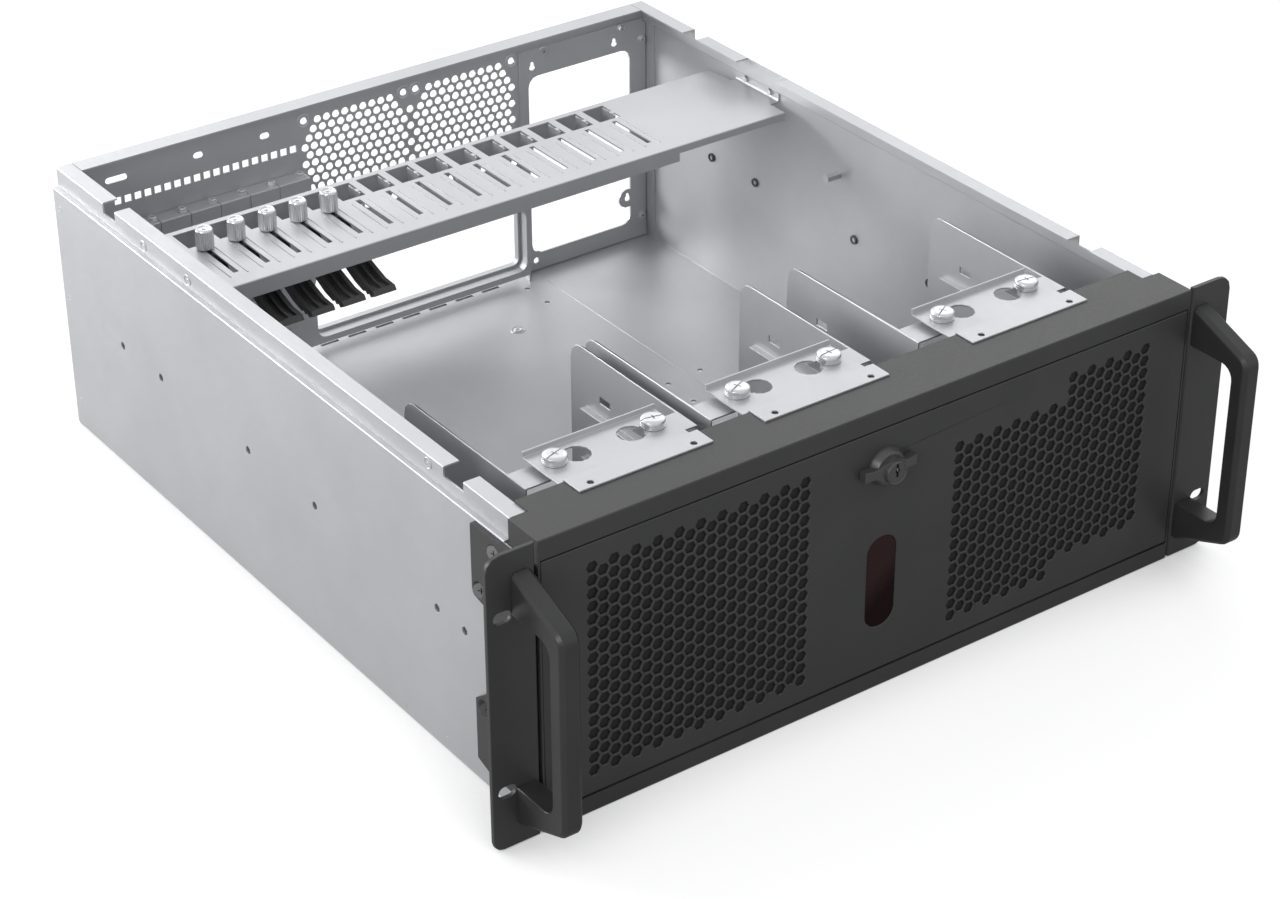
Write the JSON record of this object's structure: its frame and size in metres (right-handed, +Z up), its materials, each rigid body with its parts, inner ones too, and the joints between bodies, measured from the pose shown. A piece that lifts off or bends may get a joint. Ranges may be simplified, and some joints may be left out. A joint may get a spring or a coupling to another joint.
{
  "type": "empty rackmount server case",
  "caption": "Open-topped steel rackmount server case with drop-down front door, rack ears and handles, card hold-down bar, drive cages and a rear connector wall.",
  "frame": {"origin": "middle of the case's width, in the plane of the bezel's front face and of the underside", "axes": "+X to the right seen from the front, +Y to the rear, +Z up"},
  "size_m": [0.4826, 0.5398, 0.172],
  "materials": {
    "galvanised_steel": "matte",
    "black_powder_coat": "fine texture, satin",
    "black_handles": "satin black",
    "clamp_plastic": "satin",
    "plated_screws": "satin",
    "black_screws": "satin",
    "lock_metal": "satin",
    "tinted_window": "gloss",
    "filter_foam": "matte"
  },
  "bodies": {
    "case": {"base_tray": "galvanised_steel", "rear_panel": "galvanised_steel", "psu_plate": "galvanised_steel", "psu_plate_screws": "plated_screws", "slot_cover_screws": "plated_screws", "hold_down_bar": "galvanised_steel", "bar_screws": "plated_screws", "front_frame": "black_powder_coat", "hinge_pins": "plated_screws", "ear_screws": "black_screws", "handle_screws": "black_screws", "cage_screws": "plated_screws", "wall_standoff": "plated_screws", "ear_right": "black_powder_coat", "ear_left": "black_powder_coat", "handle_right": "black_handles", "handle_left": "black_handles", "slot_cover_1": "galvanised_steel", "slot_cover_2": "galvanised_steel", "slot_cover_3": "galvanised_steel", "slot_cover_4": "galvanised_steel", "slot_cover_5": "galvanised_steel", "slot_cover_6": "galvanised_steel", "slot_cover_7": "galvanised_steel", "drive_cage_1": "galvanised_steel", "cage_plate_1": "galvanised_steel", "drive_cage_2": "galvanised_steel", "cage_plate_2": "galvanised_steel", "drive_cage_3": "galvanised_steel", "cage_plate_3": "galvanised_steel"},
    "door": {"door": "black_powder_coat", "door_window": "tinted_window", "filter_left": "filter_foam", "filter_right": "filter_foam"},
    "lock": {"lock_knob": "lock_metal", "lock_cam": "plated_screws"},
    "clamp_1": {"clamp_1": "clamp_plastic"},
    "thumbscrew_1": {"thumbscrew_1": "plated_screws"},
    "clamp_2": {"clamp_2": "clamp_plastic"},
    "thumbscrew_2": {"thumbscrew_2": "plated_screws"},
    "clamp_3": {"clamp_3": "clamp_plastic"},
    "thumbscrew_3": {"thumbscrew_3": "plated_screws"},
    "clamp_4": {"clamp_4": "clamp_plastic"},
    "thumbscrew_4": {"thumbscrew_4": "plated_screws"},
    "clamp_5": {"clamp_5": "clamp_plastic"},
    "thumbscrew_5": {"thumbscrew_5": "plated_screws"}
  },
  "joints": [
    {"name": "door_hinge", "type": "hinge", "parent": "case", "child": "door", "pos_m": [0, 0.0036, 0.0152], "axis": [1, 0, 0], "range_deg": [0, 90]},
    {"name": "lock_turn", "type": "hinge", "parent": "door", "child": "lock", "pos_m": [0.0005, 0, 0.137], "axis": [0, -1, 0], "range_deg": [0, 90]},
    {"name": "clamp_1_slide", "type": "slide", "parent": "case", "child": "clamp_1", "axis": [0, -1, 0], "range_m": [0, 0.033]},
    {"name": "thumbscrew_1_turn", "type": "hinge", "parent": "clamp_1", "child": "thumbscrew_1", "pos_m": [-0.17228, 0.392, 0.15], "axis": [0, 0, 1], "range_deg": [0, 1080]},
    {"name": "clamp_2_slide", "type": "slide", "parent": "case", "child": "clamp_2", "axis": [0, -1, 0], "range_m": [0, 0.033]},
    {"name": "thumbscrew_2_turn", "type": "hinge", "parent": "clamp_2", "child": "thumbscrew_2", "pos_m": [-0.15196, 0.392, 0.15], "axis": [0, 0, 1], "range_deg": [0, 1080]},
    {"name": "clamp_3_slide", "type": "slide", "parent": "case", "child": "clamp_3", "axis": [0, -1, 0], "range_m": [0, 0.033]},
    {"name": "thumbscrew_3_turn", "type": "hinge", "parent": "clamp_3", "child": "thumbscrew_3", "pos_m": [-0.13164, 0.392, 0.15], "axis": [0, 0, 1], "range_deg": [0, 1080]},
    {"name": "clamp_4_slide", "type": "slide", "parent": "case", "child": "clamp_4", "axis": [0, -1, 0], "range_m": [0, 0.033]},
    {"name": "thumbscrew_4_turn", "type": "hinge", "parent": "clamp_4", "child": "thumbscrew_4", "pos_m": [-0.11132, 0.392, 0.15], "axis": [0, 0, 1], "range_deg": [0, 1080]},
    {"name": "clamp_5_slide", "type": "slide", "parent": "case", "child": "clamp_5", "axis": [0, -1, 0], "range_m": [0, 0.033]},
    {"name": "thumbscrew_5_turn", "type": "hinge", "parent": "clamp_5", "child": "thumbscrew_5", "pos_m": [-0.091, 0.392, 0.15], "axis": [0, 0, 1], "range_deg": [0, 1080]}
  ]
}
